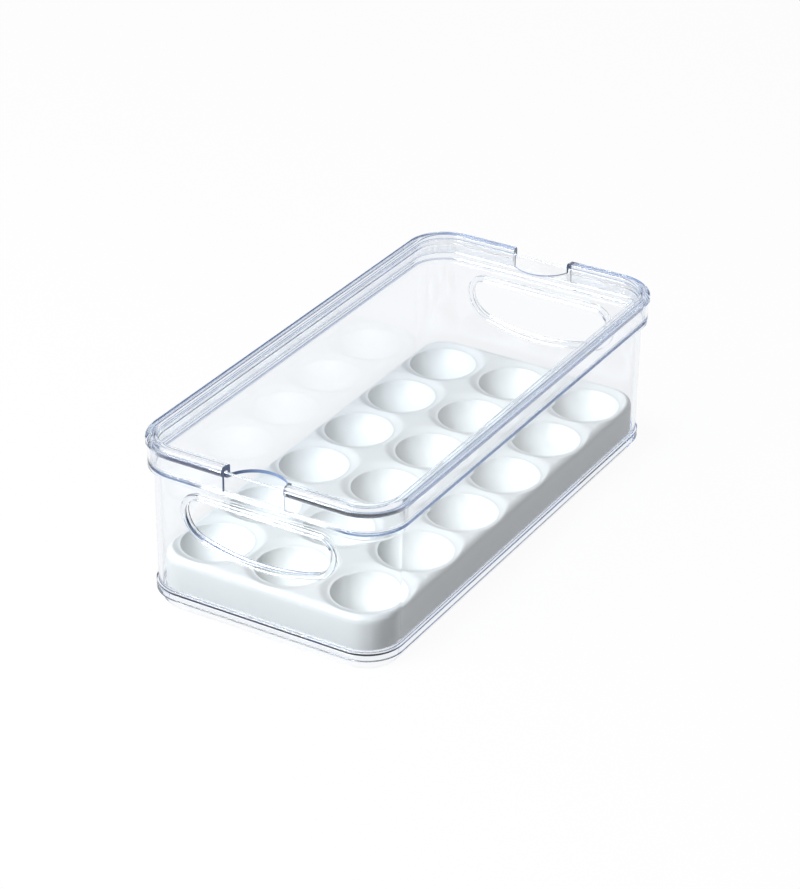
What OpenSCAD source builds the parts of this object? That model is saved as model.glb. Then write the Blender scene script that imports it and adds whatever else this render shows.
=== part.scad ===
// Clear egg keeper: a bin with two hand slots, a lift-out tray of cups
// and a lift-off lid whose hollow rim drops over the rim of the bin.
// The bin's floor is raised, and the ring under it fits inside the raised rim of a lid below.
// Frame: origin at the middle of the base, +Z up, the long way along Y.
// Profiles are lists of [inset, z]; inset is measured inwards from the lid's outline.

/* [Footprint] */
// Width over the rim of the lid
overall_w = 160; // [150:1:176]
// Length over the rim of the lid
overall_l = 320; // [300:1:352]
// Plan radius of the lid's corners
corner_r = 26; // [24:0.5:32]

/* [Bin] */
// Height of the bin to the top of its rim
bin_h = 97.5; // [88:0.5:115]
// Thickness of the bin's wall
wall_t = 2.1; // [1.6:0.1:2.6]
// Thickness of the bin's floor
floor_t = 1.8; // [1.4:0.1:2.2]
// Radius of the fillet between floor and wall
floor_fillet = 3; // [2:0.5:4]
// How far the wall leans in from flange to foot
wall_draft = 0.3; // [0:0.1:0.8]
// How far the wall's face lies inside the face of the rim
wall_setback = 1.6; // [1.2:0.1:2]

/* [Bin rim and flange] */
// Height of the rim above the ledge that carries the lid
rim_h = 10.9; // [9:0.1:13]
// Thickness of the rim
rim_t = 2; // [1.6:0.1:2.4]
// Radius of the rim's top edges
rim_round = 0.5; // [0.3:0.1:0.7]
// Height of the flange's upright face under the ledge
flange_h = 4; // [3:0.1:5]
// Height of the cove from flange to wall
cove_h = 3.4; // [2.5:0.1:4.5]

/* [Foot] */
// Height at which the wall flows into the foot bead
foot_h = 11.8; // [10:0.1:14]
// How far the foot bead stands out from the wall
foot_bead_out = 1.2; // [0.8:0.1:1.6]
// Height of the foot bead's lower edge over the base
foot_bead_z = 6.4; // [5.8:0.1:7]
// How far the foot bead's edges curve in from its middle
foot_bead_round = 0.7; // [0.4:0.1:1]
// Side clearance between the foot ring and the raised rim of a lid below
foot_gap = 0.3; // [0.2:0.05:0.5]
// Thickness of the foot ring
foot_t = 2.4; // [2:0.1:3]
// Radius of the foot ring's lower edge
foot_round = 1.5; // [0.8:0.1:1.8]
// Height of the room under the floor
foot_room = 8.4; // [7.8:0.1:9]

/* [Hand slots] */
// Width of a hand slot
slot_w = 90.4; // [70:0.2:100]
// Height of a hand slot at its middle
slot_h = 27.6; // [25:0.2:32]
// Distance from the flange's cove down to the slot's top
slot_drop = 5; // [4.6:0.1:8]
// Radius of the slot's curved lower edge
slot_belly_r = 115; // [100:1:150]
// Radius of the slot's lower corners
slot_low_r = 15; // [12:0.5:15]
// Radius of the slot's upper corners
slot_top_r = 8; // [6:0.5:9]
// Width of the raised lip round a slot
lip_w = 3.5; // [2.5:0.1:4.5]
// How far the lip stands out of the wall
lip_out = 1.2; // [0.8:0.1:1.8]
// How far the lip stands into the bin
lip_in = 0.7; // [0.4:0.1:1]
// Bevel on the lip's outer edges
lip_bevel = 0.6; // [0.3:0.1:0.8]

/* [Lid] */
// Thickness of the lid's skirt
skirt_t = 1.6; // [1.2:0.1:2.2]
// How far the raised rim overhangs the skirt
bead_overhang = 0.9; // [0.5:0.1:1.5]
// Width of the raised rim
bead_w = 6.7; // [6.5:0.1:9]
// Height of the raised rim above the panel
bead_rise = 5.7; // [5:0.1:6.2]
// Thickness of the raised rim over its hollow
roof_t = 3.1; // [2.4:0.1:4]
// Radius of the raised rim's outer top edge
bead_round_out = 2.6; // [1.5:0.1:3]
// Radius of the raised rim's inner top edge
bead_round_in = 1.2; // [0.6:0.1:1.6]
// Thickness of the lid's panel
panel_t = 2; // [1.6:0.1:2.6]
// Radius of the half-round finger notch in each end
notch_r = 19.2; // [15:0.1:24]

/* [Lid fit] */
// Side clearance between the bin's rim and the hollow of the lid
fit_gap = 0.3; // [0.2:0.05:0.5]
// Clearance between the skirt and the ledge
seat_gap = 0.2; // [0.1:0.05:0.4]
// Clearance over the bin's rim
roof_gap = 0.9; // [0.4:0.1:1.4]

/* [Egg tray] */
// Height of the tray
tray_h = 20.6; // [19:0.1:26]
// Wall thickness of the tray
tray_t = 1.6; // [1.2:0.1:2]
// Clearance between the tray's side and the bin's wall at the foot
tray_gap = 2.2; // [1:0.1:3]
// Clearance between the tray and the bin's floor
tray_rest_gap = 0.2; // [0.1:0.05:0.4]
// Radius of the tray's top edge
tray_round = 5; // [3:0.5:5.5]

/* [Cups] */
// Cups across the tray
cup_cols = 3; // [2:1:3]
// Cups along the tray
cup_rows = 6; // [4:1:6]
// Distance from the tray's side to the middle of the nearest cups
cup_side = 23; // [22.5:0.1:25]
// Distance from the tray's end to the middle of the nearest cups
cup_end = 28.5; // [24:0.5:32]
// Radius of the round bowl of a cup
cup_bowl_r = 22; // [21:0.1:23]
// Radius of the mouth of the bowl
cup_mouth_r = 20; // [18.5:0.1:20.4]
// Radius of the shallow dish round the mouth
dish_r = 27; // [25:0.5:29]
// Depth of the shallow dish
dish_depth = 2; // [1.2:0.1:2.6]

/* [Hidden] */
$fn = 96;

// Overlap where one solid is sunk into another or cut clean through
bite = 1;
// Segments in a small rounded edge
edge_steps = 5;
// Segments in the rounded edges of a hand slot
slot_steps = 8;

// Insets of the rim, walls and foot
skirt_out = bead_overhang;
skirt_in = skirt_out + skirt_t;
rim_out = skirt_in + fit_gap;
rim_in = rim_out + rim_t;
wall_out = rim_out + wall_setback;
wall_in = wall_out + wall_t;
wall_out_low = wall_out + wall_draft;
wall_in_low = wall_in + wall_draft;
bead_foot_out = wall_out_low - foot_bead_out;
foot_out = bead_w + foot_gap;
foot_in = foot_out + foot_t;
floor_edge = max(wall_in_low + floor_fillet, foot_in) + bite;
hollow_in = rim_in + fit_gap;

// Heights
ledge_z = bin_h - rim_h;
flange_z = ledge_z - flange_h;
cove_z = flange_z - cove_h;
skirt_z = ledge_z + seat_gap;
hollow_z = bin_h + roof_gap;
lid_top = hollow_z + roof_t;
panel_top = lid_top - bead_rise;
panel_z = panel_top - panel_t;
foot_bead_h = foot_h - foot_bead_z;
floor_z = foot_room + floor_t;

// Tray and cups
tray_out = wall_in_low + tray_gap;
tray_in = tray_out + tray_t;
tray_z = floor_z + tray_rest_gap;
tray_top = tray_z + tray_h;
tray_plate = tray_out + tray_round;
tray_w = overall_w - 2 * tray_out;
tray_l = overall_l - 2 * tray_out;
cup_pitch_x = (tray_w - 2 * cup_side) / (cup_cols - 1);
cup_pitch_y = (tray_l - 2 * cup_end) / (cup_rows - 1);
mouth_z = tray_top - dish_depth;
bowl_z = mouth_z + sqrt(pow(cup_bowl_r, 2) - pow(cup_mouth_r, 2));

// Hand slots
slot_top = cove_z - slot_drop;
slot_low = slot_top - slot_h;
slot_half = slot_w / 2;
belly_z = slot_low + slot_belly_r;
low_x = slot_half - slot_low_r;
low_angle = asin(low_x / (slot_belly_r - slot_low_r));
low_z = belly_z - (slot_belly_r - slot_low_r) * cos(low_angle);
top_r = min(slot_top_r, slot_top - low_z - bite / 10);

// Points of an arc about [x, y] from one angle to another
function arc(x, y, r, from, to, steps) =
    [for (i = [0:steps]) let (a = from + (to - from) * i / steps) [x + r * cos(a), y + r * sin(a)]];

// Section through the wall of the bin, from foot ring to rim
function bin_section() = concat(
    [[foot_in, foot_room], [foot_in, 0]],
    arc(foot_out + foot_round, foot_round, foot_round, 270, 180, edge_steps),
    [[foot_out, foot_bead_z]],
    [for (p = arc(0, 0, 1, 270, 90, 2 * edge_steps))
        [bead_foot_out + foot_bead_round * (1 + p[0]), foot_bead_z + foot_bead_h * (1 + p[1]) / 2]],
    [[wall_out_low, foot_h]],
    [for (p = arc(0, 0, 1, 0, 90, edge_steps))
        [skirt_out + (wall_out - skirt_out) * p[0], cove_z + cove_h * p[1]]],
    [[skirt_out, ledge_z], [rim_out, ledge_z]],
    arc(rim_out + rim_round, bin_h - rim_round, rim_round, 180, 90, 2),
    arc(rim_in - rim_round, bin_h - rim_round, rim_round, 90, 0, 2),
    [[rim_in, ledge_z], [wall_in, flange_z]],
    arc(wall_in_low + floor_fillet, floor_z + floor_fillet, floor_fillet, 180, 270, edge_steps),
    [[floor_edge, floor_z], [floor_edge, foot_room]]);

// Section through the rim of the lid: skirt, hollow, raised rim and edge of the panel
function lid_section() = concat(
    [[skirt_in, skirt_z], [skirt_out, skirt_z], [skirt_out, panel_top], [0, panel_top + bead_overhang]],
    arc(bead_round_out, lid_top - bead_round_out, bead_round_out, 180, 90, edge_steps),
    arc(bead_w - bead_round_in, lid_top - bead_round_in, bead_round_in, 90, 0, edge_steps),
    [[bead_w, panel_top], [bead_w + bite, panel_top], [bead_w + bite, panel_z]],
    [[hollow_in, panel_z], [hollow_in, hollow_z], [skirt_in, hollow_z]]);

// Section through the side of the tray up to the edge of its top plate
function tray_section() = concat(
    [[tray_out, tray_z]],
    arc(tray_plate, tray_top - tray_round, tray_round, 180, 90, edge_steps),
    arc(tray_plate, tray_top - tray_round, tray_round - tray_t, 90, 180, edge_steps),
    [[tray_in, tray_z]]);

// Outline of a hand slot, grown outwards all round
function slot_outline(grow) =
    let (r_low = slot_low_r + grow,
         r_top = top_r + grow,
         top_x = slot_half - top_r,
         top_z = slot_top - top_r,
         r_belly = slot_belly_r + grow)
    concat(
        arc(top_x, top_z, r_top, 90, 0, slot_steps),
        arc(low_x, low_z, r_low, 0, low_angle - 90, slot_steps),
        arc(0, belly_z, r_belly, low_angle - 90 - low_angle / slot_steps,
            -90 - low_angle + low_angle / slot_steps, 2 * slot_steps),
        arc(-low_x, low_z, r_low, -90 - low_angle, -180, slot_steps),
        arc(-top_x, top_z, r_top, 180, 90, slot_steps));

// Rounded rectangle that lies the given distance inside the lid's outline
module outline(inset) {
    w = overall_w - 2 * inset;
    l = overall_l - 2 * inset;
    r = corner_r - inset;
    square([w - 2 * r, l], center = true);
    square([w, l - 2 * r], center = true);
    for (x = [-1, 1], y = [-1, 1])
        translate([x * (w / 2 - r), y * (l / 2 - r)]) circle(r);
}

// Plate inside the outline between two heights
module plate(inset, low, high) {
    translate([0, 0, low]) linear_extrude(high - low) outline(inset);
}

// Section carried once round the outline: four straight runs and four corners
module swept(section) {
    points = [for (p = section) [corner_r - p[0], p[1]]];
    side_x = overall_w / 2 - corner_r;
    side_y = overall_l / 2 - corner_r;
    for (turn = [0, 180]) {
        rotate(turn) translate([side_x, 0, 0]) rotate([90, 0, 0])
            linear_extrude(2 * side_y, center = true) polygon(points);
        rotate(turn + 90) translate([side_y, 0, 0]) rotate([90, 0, 0])
            linear_extrude(2 * side_x, center = true) polygon(points);
        rotate(turn) translate([side_x, side_y, 0]) rotate_extrude(angle = 90) polygon(points);
        rotate(turn) translate([-side_x, side_y, 0]) rotate(90)
            rotate_extrude(angle = 90) polygon(points);
    }
}

// Slab of a hand slot's outline across the front wall, between two distances from its face
module slot_slab(grow, from, to) {
    translate([0, to - overall_l / 2 + wall_out, 0]) rotate([90, 0, 0])
        linear_extrude(to - from) polygon(slot_outline(grow));
}

// Raised lip round a hand slot, with stepped edges
module slot_lip() {
    inner_face = wall_t + wall_draft + lip_in;
    slot_slab(lip_w, lip_bevel - lip_out, inner_face - lip_bevel);
    slot_slab(lip_w - lip_bevel, -lip_out, inner_face);
}

module both_ends() {
    children();
    rotate(180) children();
}

module bin() {
    color([0.84, 0.9, 0.94, 0.4]) difference() {
        union() {
            swept(bin_section());
            plate(floor_edge - bite, foot_room, floor_z);
            both_ends() slot_lip();
        }
        both_ends() slot_slab(0, -lip_out - bite, wall_t + wall_draft + lip_in + bite);
    }
}

module lid() {
    color([0.78, 0.86, 0.95, 0.4]) difference() {
        union() {
            swept(lid_section());
            plate(bead_w, panel_z, panel_top);
        }
        both_ends() translate([0, overall_l / 2, skirt_z - bite])
            cylinder(h = lid_top - skirt_z + 2 * bite, r = notch_r);
    }
}

// One copy of the children at the middle of each cup
module at_cups() {
    for (i = [0:cup_cols - 1], j = [0:cup_rows - 1])
        translate([(i - (cup_cols - 1) / 2) * cup_pitch_x, (j - (cup_rows - 1) / 2) * cup_pitch_y, 0])
            children();
}

// Outside of a cup under the top plate
module cup_shell() {
    intersection() {
        translate([0, 0, bowl_z]) sphere(cup_bowl_r + tray_t);
        translate([0, 0, tray_z]) cylinder(h = mouth_z - tray_z, r = cup_bowl_r + tray_t);
    }
    translate([0, 0, mouth_z - tray_t])
        cylinder(h = dish_depth, r1 = cup_mouth_r, r2 = dish_r - tray_t);
}

// Room inside a cup: the round bowl and the dish above it
module cup_room() {
    translate([0, 0, bowl_z]) sphere(cup_bowl_r);
    translate([0, 0, mouth_z]) cylinder(h = dish_depth, r1 = cup_mouth_r, r2 = dish_r);
    translate([0, 0, tray_top]) cylinder(h = cup_bowl_r, r = dish_r);
}

module egg_tray() {
    color([0.92, 0.96, 0.97]) difference() {
        union() {
            swept(tray_section());
            plate(tray_plate - bite, tray_top - tray_t, tray_top);
            intersection() {
                at_cups() cup_shell();
                plate(tray_in, tray_z, tray_top);
            }
        }
        at_cups() cup_room();
    }
}

bin();
egg_tray();
lid();
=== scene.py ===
"""Looks of the egg keeper: clear plastic bin and lid, a satin tray of cups, and a white studio."""

import math

import bmesh
import bpy
from mathutils import Matrix, Vector


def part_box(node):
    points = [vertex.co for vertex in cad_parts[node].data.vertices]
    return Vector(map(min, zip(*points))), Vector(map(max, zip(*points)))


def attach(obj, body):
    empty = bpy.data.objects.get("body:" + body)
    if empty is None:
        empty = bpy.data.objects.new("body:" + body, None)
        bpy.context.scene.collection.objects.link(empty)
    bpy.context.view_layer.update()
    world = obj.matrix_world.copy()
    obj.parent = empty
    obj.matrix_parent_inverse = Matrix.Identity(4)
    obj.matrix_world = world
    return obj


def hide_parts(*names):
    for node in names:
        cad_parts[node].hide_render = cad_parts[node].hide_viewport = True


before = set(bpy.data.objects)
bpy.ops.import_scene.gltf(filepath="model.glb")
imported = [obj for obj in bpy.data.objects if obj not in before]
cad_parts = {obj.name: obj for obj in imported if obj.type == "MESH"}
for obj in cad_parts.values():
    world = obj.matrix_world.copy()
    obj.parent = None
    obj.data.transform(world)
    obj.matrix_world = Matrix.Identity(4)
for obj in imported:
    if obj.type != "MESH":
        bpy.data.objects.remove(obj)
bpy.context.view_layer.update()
LID_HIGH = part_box("lid")[1]
BIN_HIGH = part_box("bin")[1]
TRAY_LOW, TRAY_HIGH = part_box("egg_tray")

# Outline over the rim of the lid, in metres. Insets are measured inwards from it.
HALF_W = LID_HIGH.x
HALF_L = LID_HIGH.y
CORNER_R = 0.026
CORNER_STEPS = 28
# Inset at which a flat floor or panel takes over from the section
MIDDLE = 0.018

# Roundings that several edges share
SHARP_R = 0.0002
CRISP_R = 0.0003
EDGE_R = 0.0005
SOFT_R = 0.0006
FILLET_STEPS = 6

# Insets of the rim, walls and foot of the bin
LEDGE_OUT = 0.0009
RIM_OUT = 0.0028
RIM_IN = 0.0048
WALL_OUT = 0.0044
WALL_IN = 0.0065
WALL_OUT_LOW = 0.0047
WALL_IN_LOW = 0.0068
BEAD_OUT = 0.0035
FOOT_OUT = 0.007
FOOT_IN = 0.0094

# Heights of the bin
RIM_Z = BIN_HIGH.z
LEDGE_Z = RIM_Z - 0.0109
FLANGE_Z = LEDGE_Z - 0.004
COVE_Z = FLANGE_Z - 0.0034
FOOT_Z = 0.0118
BEAD_Z = 0.0064
FLOOR_Z = TRAY_LOW.z - 0.0002
FLOOR_LOW = FLOOR_Z - 0.002

# Roundings of the bin
FOOT_R = 0.0015
COVE_R = 0.0028
NECK_R = 0.001
FLOOR_R = 0.003

# Hand slots
SLOT_HALF = 0.0452
SLOT_TOP = COVE_Z - 0.005
SLOT_LOW = SLOT_TOP - 0.0276
BELLY_R = 0.115
SLOT_LOW_R = 0.015
SLOT_TOP_R = 0.0078
SLOT_STEPS = 16
LIP_W = 0.0035
LIP_FRONT = WALL_OUT - 0.0012
LIP_BACK = 0.0075
LIP_INNER_R = 0.0009
LIP_OUTER_R = 0.0007
# Insets between which a slot is cut, from outside the end wall to inside it
PLUG_INSETS = (-0.01, 0.02)

# Lid
SKIRT_OUT = 0.0009
SKIRT_IN = 0.0025
HOLLOW_IN = 0.0051
BEAD_W = 0.0067
LID_TOP = LID_HIGH.z
HOLLOW_Z = RIM_Z + 0.0009
PANEL_TOP = LID_TOP - 0.0057
PANEL_Z = PANEL_TOP - 0.002
SKIRT_Z = LEDGE_Z + 0.0002
PANEL_R = 0.0004
HOLLOW_R = 0.0008
BROW_R = 0.0026
BROW_INNER_R = 0.0012
NOTCH_R = 0.0192
NOTCH_DEPTH = 0.06
NOTCH_STEPS = 128

# Tray and cups
TRAY_INSET = HALF_W - TRAY_HIGH.x
TRAY_TOP = TRAY_HIGH.z
TRAY_Z = TRAY_LOW.z
TRAY_ROUND = 0.005
TRAY_T = 0.0016
TRAY_CREASE = 50
CUP_COLS, CUP_ROWS = 3, 6
CUP_SIDE, CUP_END = 0.023, 0.0285
BOWL_R = 0.022
MOUTH_R = 0.02
MOUTH_ROUND = 0.0012
DISH_R = 0.027
DISH_DEPTH = 0.002
EDGE_BLEND = 0.002
RIDGE_BLEND = 0.0008

# Where a cup's surface is sampled: rings closest together at its mouth, then steps to the cell's border,
# along even directions and along more of them, in degrees, near the direction to each corner of the cell
CUP_RINGS = [0.004, 0.008, 0.0115, 0.0145, 0.0165, 0.018, 0.019, 0.0195, 0.01985, 0.0202, 0.0207, 0.0213]
BORDER_STEPS = 14
CUP_ANGLES = 64
CORNER_TURNS = (-4, -2.6, -1.5, -0.6, 0, 0.6, 1.5, 2.6, 4)
MERGE_GAP = 2e-5

# Clear plastic and studio
PLASTIC_IOR = 1.5
BODY_TINT = (0.45, 0.6, 0.8, 1)
TINT_DENSITY = 26
SHADOW_TINT = (0.96, 0.97, 0.98, 1)
BOUNCES = 64
FLOOR_SIZE = 12
FLOOR_DROP = 0.0003
KEY_PLACE = (-0.6, -1.1, 1.35)
KEY_SIZE = 1.0
KEY_POWER = 43
KEEPER_MIDDLE = (0, 0, 0.05)


def arc(cx, cy, r, start, end, steps):
    """Points of an arc about a centre, in degrees."""
    angles = [math.radians(start + (end - start) * i / steps) for i in range(steps + 1)]
    return [(cx + r * math.cos(a), cy + r * math.sin(a)) for a in angles]


def rounded(corners, closed=False):
    """Points of a line whose corners (x, y, radius) are rounded."""
    points, n = [], len(corners)
    for i, (x, y, r) in enumerate(corners):
        at_end = not closed and i in (0, n - 1)
        if r == 0 or at_end:
            points.append(Vector((x, y)))
            continue
        here = Vector((x, y))
        before = (Vector(corners[i - 1][:2]) - here).normalized()
        after = (Vector(corners[(i + 1) % n][:2]) - here).normalized()
        half = before.angle(after) / 2
        centre = here + (before + after).normalized() * (r / math.sin(half))
        first = here + before * (r / math.tan(half)) - centre
        turn = first.angle_signed(here + after * (r / math.tan(half)) - centre)
        for k in range(FILLET_STEPS + 1):
            points.append(centre + Matrix.Rotation(-turn * k / FILLET_STEPS, 2) @ first)
    return points


def loop_at(inset):
    """Points of the rounded rectangle that lies the given distance inside the lid's outline."""
    r = CORNER_R - inset
    cx, cy = HALF_W - CORNER_R, HALF_L - CORNER_R
    corners = ((cx, cy, 0), (-cx, cy, 90), (-cx, -cy, 180), (cx, -cy, 270))
    return [p for x, y, a in corners for p in arc(x, y, r, a, a + 90, CORNER_STEPS)]


def join(bm, low, high, slot=0):
    """Closed strip of faces between two loops of corners, with a material slot."""
    n = len(low)
    for k in range(n):
        face = bm.faces.new((low[k], low[(k + 1) % n], high[(k + 1) % n], high[k]))
        face.material_index = slot


def swept(bm, section, slot_of=lambda inset, z: 0):
    """Carries a section of (inset, z) round the outline, and closes both ends with flat faces."""
    loops = [[bm.verts.new((x, y, z)) for x, y in loop_at(inset)] for inset, z in section]
    for i, (low, high) in enumerate(zip(loops, loops[1:])):
        join(bm, low, high, slot_of(*((section[i] + section[i + 1]) / 2)))
    bm.faces.new(loops[0][::-1])
    bm.faces.new(loops[-1])


def add_object(name, bm, *materials):
    """An object from a mesh being built, with its normals outwards."""
    bmesh.ops.recalc_face_normals(bm, faces=bm.faces)
    mesh = bpy.data.meshes.new(name)
    bm.to_mesh(mesh)
    bm.free()
    obj = bpy.data.objects.new(name, mesh)
    bpy.context.scene.collection.objects.link(obj)
    for material in materials:
        mesh.materials.append(material)
    return obj


def combine(obj, other, operation):
    """Cuts another object's shape away or adds it, and deletes the other object."""
    change = obj.modifiers.new("combine", "BOOLEAN")
    change.operation = operation
    change.object = other
    change.solver = "EXACT"
    apply_modifiers(obj)
    bpy.data.objects.remove(other)


def apply_modifiers(obj):
    """Replaces the object's mesh with what its modifiers make of it."""
    graph = bpy.context.evaluated_depsgraph_get()
    mesh = bpy.data.meshes.new_from_object(obj.evaluated_get(graph))
    obj.modifiers.clear()
    obj.data = mesh


def smooth(obj, crease=32):
    """Smooth shading up to a crease angle in degrees, with flat faces flat up to their rounded borders."""
    obj.data.shade_smooth()
    obj.data.set_sharp_from_angle(angle=math.radians(crease))
    weighted = obj.modifiers.new("weighted", "WEIGHTED_NORMAL")
    weighted.keep_sharp = True
    weighted.weight = 100


def slot_outline(grow):
    """Closed outline (x, z) of a hand slot, grown outwards all round."""
    belly_z = SLOT_LOW + BELLY_R
    low_x = SLOT_HALF - SLOT_LOW_R
    turn = math.degrees(math.asin(low_x / (BELLY_R - SLOT_LOW_R)))
    low_z = belly_z - (BELLY_R - SLOT_LOW_R) * math.cos(math.radians(turn))
    top_x, top_z = SLOT_HALF - SLOT_TOP_R, SLOT_TOP - SLOT_TOP_R
    right = arc(top_x, top_z, SLOT_TOP_R + grow, 90, 0, SLOT_STEPS)
    right += arc(low_x, low_z, SLOT_LOW_R + grow, 0, turn - 90, SLOT_STEPS)
    belly = arc(0, belly_z, BELLY_R + grow, turn - 90, -90 - turn, 3 * SLOT_STEPS)[1:-1]
    return right + belly + [(-x, z) for x, z in reversed(right)]


def slot_loops(bm, section, side):
    """The hand slot's outline at each (grow, inset) of a section, in the end on that side."""
    loops = []
    for grow, inset in section:
        y = side * (HALF_L - inset)
        loops.append([bm.verts.new((x, y, z)) for x, z in slot_outline(grow)])
    return loops


def add_lip(bm, side):
    """Raised lip round the hand slot in the end on that side."""
    section = rounded([
        (0, LIP_FRONT, LIP_INNER_R), (LIP_W, LIP_FRONT, LIP_OUTER_R),
        (LIP_W, LIP_BACK, EDGE_R), (0, LIP_BACK, EDGE_R),
    ], closed=True)
    loops = slot_loops(bm, section, side)
    for low, high in zip(loops, loops[1:] + loops[:1]):
        join(bm, low, high)


def add_plug(bm, side):
    """Prism that cuts the slot through the end wall on that side, up to the middle of the lip."""
    front, back = slot_loops(bm, [(LIP_W / 2, inset) for inset in PLUG_INSETS], side)
    join(bm, front, back)
    bm.faces.new(front)
    bm.faces.new(back[::-1])


def at_both_ends(name, add, *materials):
    """An object that has the same form at each end of the keeper."""
    bm = bmesh.new()
    for side in (-1, 1):
        add(bm, side)
    return add_object(name, bm, *materials)


def make_bin(clear):
    """Clear bin on its foot, with a hand slot and a raised lip in each end."""
    section = rounded([
        (MIDDLE, FLOOR_LOW, 0), (FOOT_IN, FLOOR_LOW, EDGE_R),
        (FOOT_IN, 0, CRISP_R), (FOOT_OUT, 0, FOOT_R),
        (FOOT_OUT, BEAD_Z, CRISP_R), (BEAD_OUT, BEAD_Z, SOFT_R),
        (BEAD_OUT, FOOT_Z, SHARP_R), (WALL_OUT_LOW, FOOT_Z, SHARP_R),
        (WALL_OUT, COVE_Z, 0), (WALL_OUT, FLANGE_Z, COVE_R),
        (LEDGE_OUT, FLANGE_Z, EDGE_R), (LEDGE_OUT, LEDGE_Z, CRISP_R),
        (RIM_OUT, LEDGE_Z, CRISP_R), (RIM_OUT, RIM_Z, SOFT_R),
        (RIM_IN, RIM_Z, SOFT_R), (RIM_IN, LEDGE_Z, NECK_R),
        (WALL_IN, FLANGE_Z, NECK_R), (WALL_IN_LOW, FLOOR_Z, FLOOR_R),
        (MIDDLE, FLOOR_Z, 0),
    ])
    bm = bmesh.new()
    swept(bm, section)
    obj = add_object("clear_bin", bm, clear)
    combine(obj, at_both_ends("slots", add_plug, clear), "DIFFERENCE")
    combine(obj, at_both_ends("lips", add_lip, clear), "UNION")
    smooth(obj)
    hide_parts("bin")
    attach(obj, "bin")


def lid_slot(inset, z):
    """Material slot of a strip of the lid: the step under the raised rim, painted with opaque blue edge
    light, or the rest.
    """
    return 1 if abs(z - PANEL_TOP - SKIRT_OUT / 2) < SKIRT_OUT / 2 and inset < SKIRT_OUT else 0


def add_notch(bm, side):
    """Upright cylinder that cuts the finger notch in the end on that side."""
    bmesh.ops.create_cone(
        bm, cap_ends=True, segments=NOTCH_STEPS, radius1=NOTCH_R, radius2=NOTCH_R, depth=NOTCH_DEPTH,
        matrix=Matrix.Translation((0, side * HALF_L, LID_TOP)),
    )
    # The notch's cut faces take the opaque blue of painted edge light
    for face in bm.faces:
        face.material_index = 1


def make_lid(clear, edge_glow_paint):
    """Clear lid with a flat panel, a hollow raised rim, a skirt and a half-round notch in each end."""
    section = rounded([
        (MIDDLE, PANEL_Z, 0), (HOLLOW_IN, PANEL_Z, PANEL_R),
        (HOLLOW_IN, HOLLOW_Z, HOLLOW_R), (SKIRT_IN, HOLLOW_Z, HOLLOW_R),
        (SKIRT_IN, SKIRT_Z, CRISP_R), (SKIRT_OUT, SKIRT_Z, CRISP_R),
        (SKIRT_OUT, PANEL_TOP, SHARP_R), (0, PANEL_TOP + SKIRT_OUT, CRISP_R),
        (0, LID_TOP, BROW_R), (BEAD_W, LID_TOP, BROW_INNER_R),
        (BEAD_W, PANEL_TOP, SOFT_R), (MIDDLE, PANEL_TOP, 0),
    ])
    bm = bmesh.new()
    swept(bm, section, lid_slot)
    obj = add_object("clear_lid", bm, clear, edge_glow_paint)
    combine(obj, at_both_ends("notches", add_notch, clear, edge_glow_paint), "DIFFERENCE")
    smooth(obj)
    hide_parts("lid")
    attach(obj, "lid")


def tray_inset(x, y):
    """Distance from the tray's side inwards, at a point of its plan."""
    r = CORNER_R - TRAY_INSET
    dx = abs(x) - (HALF_W - CORNER_R)
    dy = abs(y) - (HALF_L - CORNER_R)
    if dx > 0 and dy > 0:
        return r - math.hypot(dx, dy)
    return r - max(dx, dy)


def cup_depth(r):
    """Depth of a cup below the tray's top, at a distance from its middle."""
    share = min(max((DISH_R - r) / (DISH_R - MOUTH_R), 0), 1)
    dish = DISH_DEPTH * share * share * (3 - 2 * share)
    if r >= BOWL_R:
        return dish
    fall = math.sqrt(BOWL_R**2 - r**2) - math.sqrt(BOWL_R**2 - MOUTH_R**2)
    bowl = DISH_DEPTH + fall
    gap = abs(bowl - dish)
    blend = max(MOUTH_ROUND - gap, 0) ** 2 / (4 * MOUTH_ROUND)
    return max(bowl, dish) - blend


def deeper(a, b, width):
    """The larger of two depths, with a soft change where they are nearly the same."""
    soft = min(width, a, b)
    if abs(a - b) >= soft:
        return max(a, b)
    return max(a, b) + (soft - abs(a - b)) ** 2 / (4 * soft)


def tray_height(x, y, middles):
    """Height of the tray's surface under its rounded edge and the two nearest cups."""
    side = min(max(TRAY_ROUND - tray_inset(x, y), 0), TRAY_ROUND)
    edge = TRAY_ROUND - math.sqrt(TRAY_ROUND**2 - side**2)
    cups = sorted(cup_depth(math.hypot(x - cx, y - cy)) for cx, cy in middles)
    return TRAY_TOP - deeper(edge, deeper(cups[-1], cups[-2], RIDGE_BLEND), EDGE_BLEND)


def reach(cx, cy, angle, cell):
    """Distance from a cup's middle to the border of its cell or to the tray's side."""
    far, tries, close = 0.06, 40, 1e-7
    for _ in range(tries):
        x, y = cx + far * math.cos(angle), cy + far * math.sin(angle)
        over = max(cell[0] - x, x - cell[1], cell[2] - y, y - cell[3], -tray_inset(x, y))
        if over < close:
            break
        far -= over
    return far


def cup_directions(cx, cy, cell):
    """Angles along which a cup's surface is sampled, in order."""
    even = {2 * math.pi * k / CUP_ANGLES - math.pi for k in range(CUP_ANGLES)}
    corners = [math.atan2(y - cy, x - cx) for x in cell[:2] for y in cell[2:]]
    return sorted(even | {a + math.radians(turn) for a in corners for turn in CORNER_TURNS})


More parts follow.
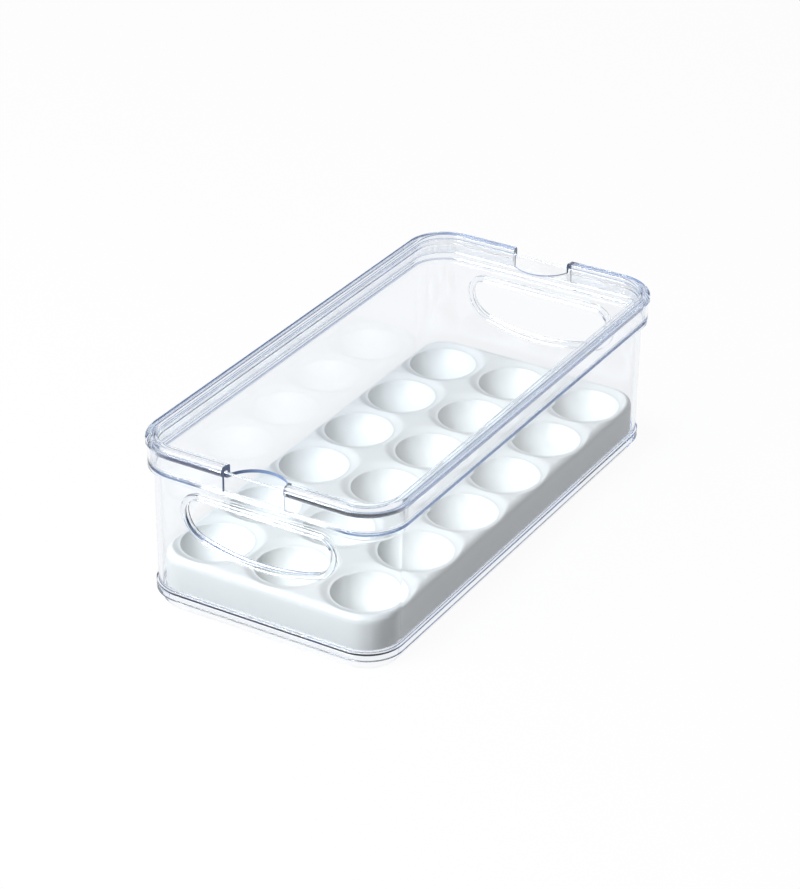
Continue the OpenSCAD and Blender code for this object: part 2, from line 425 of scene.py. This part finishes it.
def add_cup(bm, cx, cy, cell, middles):
    """Surface of one cup, from its middle to the border of its cell."""
    last = CUP_RINGS[-1]
    middle = bm.verts.new((cx, cy, tray_height(cx, cy, middles)))
    lines = []
    for angle in cup_directions(cx, cy, cell):
        beyond = reach(cx, cy, angle, cell) - last
        line = []
        for r in CUP_RINGS + [last + beyond * (i / BORDER_STEPS) for i in range(1, BORDER_STEPS + 1)]:
            x, y = cx + r * math.cos(angle), cy + r * math.sin(angle)
            line.append(bm.verts.new((x, y, tray_height(x, y, middles))))
        lines.append(line)
    for a, b in zip(lines, lines[1:] + lines[:1]):
        bm.faces.new((middle, a[0], b[0]))
        for k in range(len(a) - 1):
            bm.faces.new((a[k], a[k + 1], b[k + 1], b[k]))


def cell_borders(low, high, pitch, count):
    """Borders of the cups' cells along one direction, from one side of the tray to the other."""
    return [low] + [(i - count / 2) * pitch for i in range(1, count)] + [high]


def tray_top(bm):
    """Surface of all the cups, which meet at the borders of their cells."""
    pitch_x = (2 * TRAY_HIGH.x - 2 * CUP_SIDE) / (CUP_COLS - 1)
    pitch_y = (2 * TRAY_HIGH.y - 2 * CUP_END) / (CUP_ROWS - 1)
    middles = [((i - (CUP_COLS - 1) / 2) * pitch_x, (j - (CUP_ROWS - 1) / 2) * pitch_y)
               for i in range(CUP_COLS) for j in range(CUP_ROWS)]
    borders_x = cell_borders(TRAY_LOW.x, TRAY_HIGH.x, pitch_x, CUP_COLS)
    borders_y = cell_borders(TRAY_LOW.y, TRAY_HIGH.y, pitch_y, CUP_ROWS)
    cells = [borders_x[i:i + 2] + borders_y[j:j + 2] for i in range(CUP_COLS) for j in range(CUP_ROWS)]
    for (cx, cy), cell in zip(middles, cells):
        add_cup(bm, cx, cy, cell, middles)
    bmesh.ops.remove_doubles(bm, verts=bm.verts, dist=MERGE_GAP)


def make_tray(white):
    """White tray of cups, a thin shell with a plain skirt down to the floor."""
    bm = bmesh.new()
    tray_top(bm)
    rim = [e for e in bm.edges if e.is_boundary]
    skirt = bmesh.ops.extrude_edge_only(bm, edges=rim)["geom"]
    for v in skirt:
        if isinstance(v, bmesh.types.BMVert):
            v.co.z = TRAY_Z
    obj = add_object("cup_tray", bm, white)
    shell = obj.modifiers.new("shell", "SOLIDIFY")
    shell.thickness = TRAY_T
    shell.offset = -1
    smooth(obj, TRAY_CREASE)
    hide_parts("egg_tray")
    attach(obj, "egg_tray")


def new_material(name):
    """A material with its nodes, links and main shader."""
    mat = bpy.data.materials.new(name)
    mat.use_nodes = True
    nodes, links = mat.node_tree.nodes, mat.node_tree.links
    return mat, nodes, links, nodes["Principled BSDF"]


def noise(nodes, links, scale):
    """Noise that keeps its place on the object."""
    place = nodes.new("ShaderNodeTexCoord")
    cloud = nodes.new("ShaderNodeTexNoise")
    cloud.inputs["Scale"].default_value = scale
    links.new(place.outputs["Object"], cloud.inputs["Vector"])
    return cloud.outputs["Fac"]


def add_bump(nodes, links, shader, scale, strength, distance):
    """Small bumps from noise on a shader."""
    bump = nodes.new("ShaderNodeBump")
    bump.inputs["Strength"].default_value = strength
    bump.inputs["Distance"].default_value = distance
    links.new(noise(nodes, links, scale), bump.inputs["Height"])
    links.new(bump.outputs["Normal"], shader.inputs["Normal"])


def add_clouds(nodes, links, shader, scale, low, high):
    """A shader's colour, which drifts between two (position, colour) pairs with noise."""
    ramp = nodes.new("ShaderNodeValToRGB")
    for element, (position, colour) in zip(ramp.color_ramp.elements, (low, high)):
        element.position = position
        element.color = colour
    links.new(noise(nodes, links, scale), ramp.inputs["Fac"])
    links.new(ramp.outputs["Color"], shader.inputs["Base Color"])


def either(nodes, links, first, second):
    """Socket that is on where one of two sockets is on."""
    more = nodes.new("ShaderNodeMath")
    more.operation = "MAXIMUM"
    links.new(first, more.inputs[0])
    links.new(second, more.inputs[1])
    return more.outputs[0]


def mixed(nodes, links, share, first, second):
    """Shader socket that goes from one shader to another with a socket."""
    mix = nodes.new("ShaderNodeMixShader")
    links.new(share, mix.inputs[0])
    links.new(first, mix.inputs[1])
    links.new(second, mix.inputs[2])
    return mix.outputs[0]


def clear_plastic():
    """Clear plastic with a faint body tint and gentle waves, which lets lamps and bounced light through."""
    mat, nodes, links, shader = new_material("clear_plastic")
    shader.inputs["Base Color"].default_value = (1, 1, 1, 1)
    shader.inputs["Roughness"].default_value = 0
    shader.inputs["IOR"].default_value = PLASTIC_IOR
    shader.inputs["Transmission Weight"].default_value = 1
    add_bump(nodes, links, shader, scale=30, strength=0.04, distance=0.0004)
    through = nodes.new("ShaderNodeBsdfTransparent")
    through.inputs["Color"].default_value = SHADOW_TINT
    path = nodes.new("ShaderNodeLightPath")
    unseen = either(nodes, links, path.outputs["Is Shadow Ray"], path.outputs["Is Diffuse Ray"])
    surface = mixed(nodes, links, unseen, shader.outputs[0], through.outputs[0])
    links.new(surface, nodes["Material Output"].inputs["Surface"])
    tint = nodes.new("ShaderNodeVolumeAbsorption")
    tint.inputs["Color"].default_value = BODY_TINT
    tint.inputs["Density"].default_value = TINT_DENSITY
    links.new(tint.outputs[0], nodes["Material Output"].inputs["Volume"])
    return mat


def painted_edge_glow():
    """Opaque blue for a cut end and the step under the rim: partly the body tint built up along the
    plastic's length, partly painted light standing in for light carried inside the clear plastic.
    """
    mat, nodes, links, shader = new_material("blue_painted_edge")
    shader.inputs["Roughness"].default_value = 0.12
    shader.inputs["IOR"].default_value = PLASTIC_IOR
    # Two blues of painted edge light, partly body tint and partly painted light, drifting with noise
    low, high = (0.35, (0.15, 0.24, 0.46, 1)), (0.65, (0.26, 0.37, 0.62, 1))
    add_clouds(nodes, links, shader, 60, low, high)
    return mat


def white_plastic():
    """Satin off-white plastic with a fine grain and faint cloudiness."""
    mat, nodes, links, shader = new_material("satin_white_plastic")
    shader.inputs["Roughness"].default_value = 0.38
    shader.inputs["IOR"].default_value = 1.46
    low, high = (0, (0.84, 0.87, 0.86, 1)), (1, (0.86, 0.89, 0.88, 1))
    add_clouds(nodes, links, shader, 18, low, high)
    add_bump(nodes, links, shader, scale=900, strength=0.05, distance=0.0002)
    return mat


def white_to_sight(nodes, links, shown, lit):
    """Shader socket that is one shader to the camera, mirrors and glass, and another to all other rays."""
    path = nodes.new("ShaderNodeLightPath")
    seen = either(nodes, links, path.outputs["Is Camera Ray"], path.outputs["Is Glossy Ray"])
    seen = either(nodes, links, seen, path.outputs["Is Transmission Ray"])
    return mixed(nodes, links, seen, lit, shown)


def make_floor():
    """Pale floor that looks white and keeps a faint shadow."""
    bpy.ops.mesh.primitive_plane_add(size=FLOOR_SIZE, location=(0, 0, -FLOOR_DROP))
    floor = bpy.context.object
    floor.name = "floor"
    mat, nodes, links, shader = new_material("floor")
    nodes.remove(shader)
    matt = nodes.new("ShaderNodeBsdfDiffuse")
    matt.inputs["Color"].default_value = (0.4, 0.4, 0.4, 1)
    glow = nodes.new("ShaderNodeEmission")
    glow.inputs["Strength"].default_value = 1.06
    part = nodes.new("ShaderNodeMixShader")
    part.inputs[0].default_value = 0.9
    links.new(matt.outputs[0], part.inputs[1])
    links.new(glow.outputs[0], part.inputs[2])
    surface = white_to_sight(nodes, links, part.outputs[0], matt.outputs[0])
    links.new(surface, nodes["Material Output"].inputs["Surface"])
    floor.data.materials.append(mat)


def make_world():
    """Soft white surroundings with a dark band near the horizon, which draws the clear plastic's edges."""
    world = bpy.data.worlds.new("studio")
    bpy.context.scene.world = world
    world.use_nodes = True
    nodes, links = world.node_tree.nodes, world.node_tree.links
    lit = nodes["Background"]
    lit.inputs["Color"].default_value = (1, 1, 1, 1)
    lit.inputs["Strength"].default_value = 0.15
    shown = nodes.new("ShaderNodeBackground")
    place = nodes.new("ShaderNodeTexCoord")
    split = nodes.new("ShaderNodeSeparateXYZ")
    ramp = nodes.new("ShaderNodeValToRGB")
    ramp.color_ramp.elements[0].color = (0.06, 0.11, 0.22, 1)
    ramp.color_ramp.elements[1].color = (1, 1, 1, 1)
    for position, colour in ((0.3, (0.2, 0.32, 0.52, 1)), (0.38, (1, 1, 1, 1))):
        ramp.color_ramp.elements.new(position).color = colour
    links.new(place.outputs["Generated"], split.inputs[0])
    links.new(split.outputs["Z"], ramp.inputs["Fac"])
    links.new(ramp.outputs["Color"], shown.inputs["Color"])
    surface = white_to_sight(nodes, links, shown.outputs[0], lit.outputs[0])
    links.new(surface, nodes["World Output"].inputs["Surface"])


def add_key_lamp():
    """Square lamp that points at the middle of the keeper."""
    light = bpy.data.lights.new("key", "AREA")
    light.size = KEY_SIZE
    light.energy = KEY_POWER
    lamp = bpy.data.objects.new("key", light)
    lamp.location = KEY_PLACE
    aim = Vector(KEEPER_MIDDLE) - Vector(KEY_PLACE)
    lamp.rotation_euler = aim.to_track_quat("-Z", "Y").to_euler()
    bpy.context.scene.collection.objects.link(lamp)


def add_camera():
    """Camera at the photograph's viewing angle: azimuth, elevation and roll about its own axis."""
    azimuth, elevation, roll = (math.radians(a) for a in (30.46, 28.99, 0.6))
    pan_x, pan_y, distance = -0.004479, 0.040031, 1.66568
    back = Vector((math.sin(azimuth) * math.cos(elevation), -math.cos(azimuth) * math.cos(elevation),
                   math.sin(elevation)))
    right = (-back).cross(Vector((0, 0, 1))).normalized()
    up = right.cross(-back)
    across = math.cos(roll) * right + math.sin(roll) * up
    upward = -math.sin(roll) * right + math.cos(roll) * up
    data = bpy.data.cameras.new("camera")
    data.lens = 117.42
    data.clip_start, data.clip_end = 0.05, 50
    camera = bpy.data.objects.new("camera", data)
    place = Matrix.Translation(across * pan_x + upward * pan_y + back * distance)
    turn = Matrix((across, upward, back)).transposed()
    camera.matrix_world = place @ turn.to_4x4()
    bpy.context.scene.collection.objects.link(camera)
    bpy.context.scene.camera = camera


def let_light_through():
    """Lets light run along inside the clear walls for as long as it does in real plastic."""
    cycles = bpy.context.scene.cycles
    cycles.max_bounces = BOUNCES
    cycles.transmission_bounces = BOUNCES
    cycles.glossy_bounces = BOUNCES


bpy.context.scene.view_settings.view_transform = "Standard"
let_light_through()
add_camera()
make_world()
make_floor()
add_key_lamp()
clear = clear_plastic()
make_bin(clear)
make_lid(clear, painted_edge_glow())
make_tray(white_plastic())
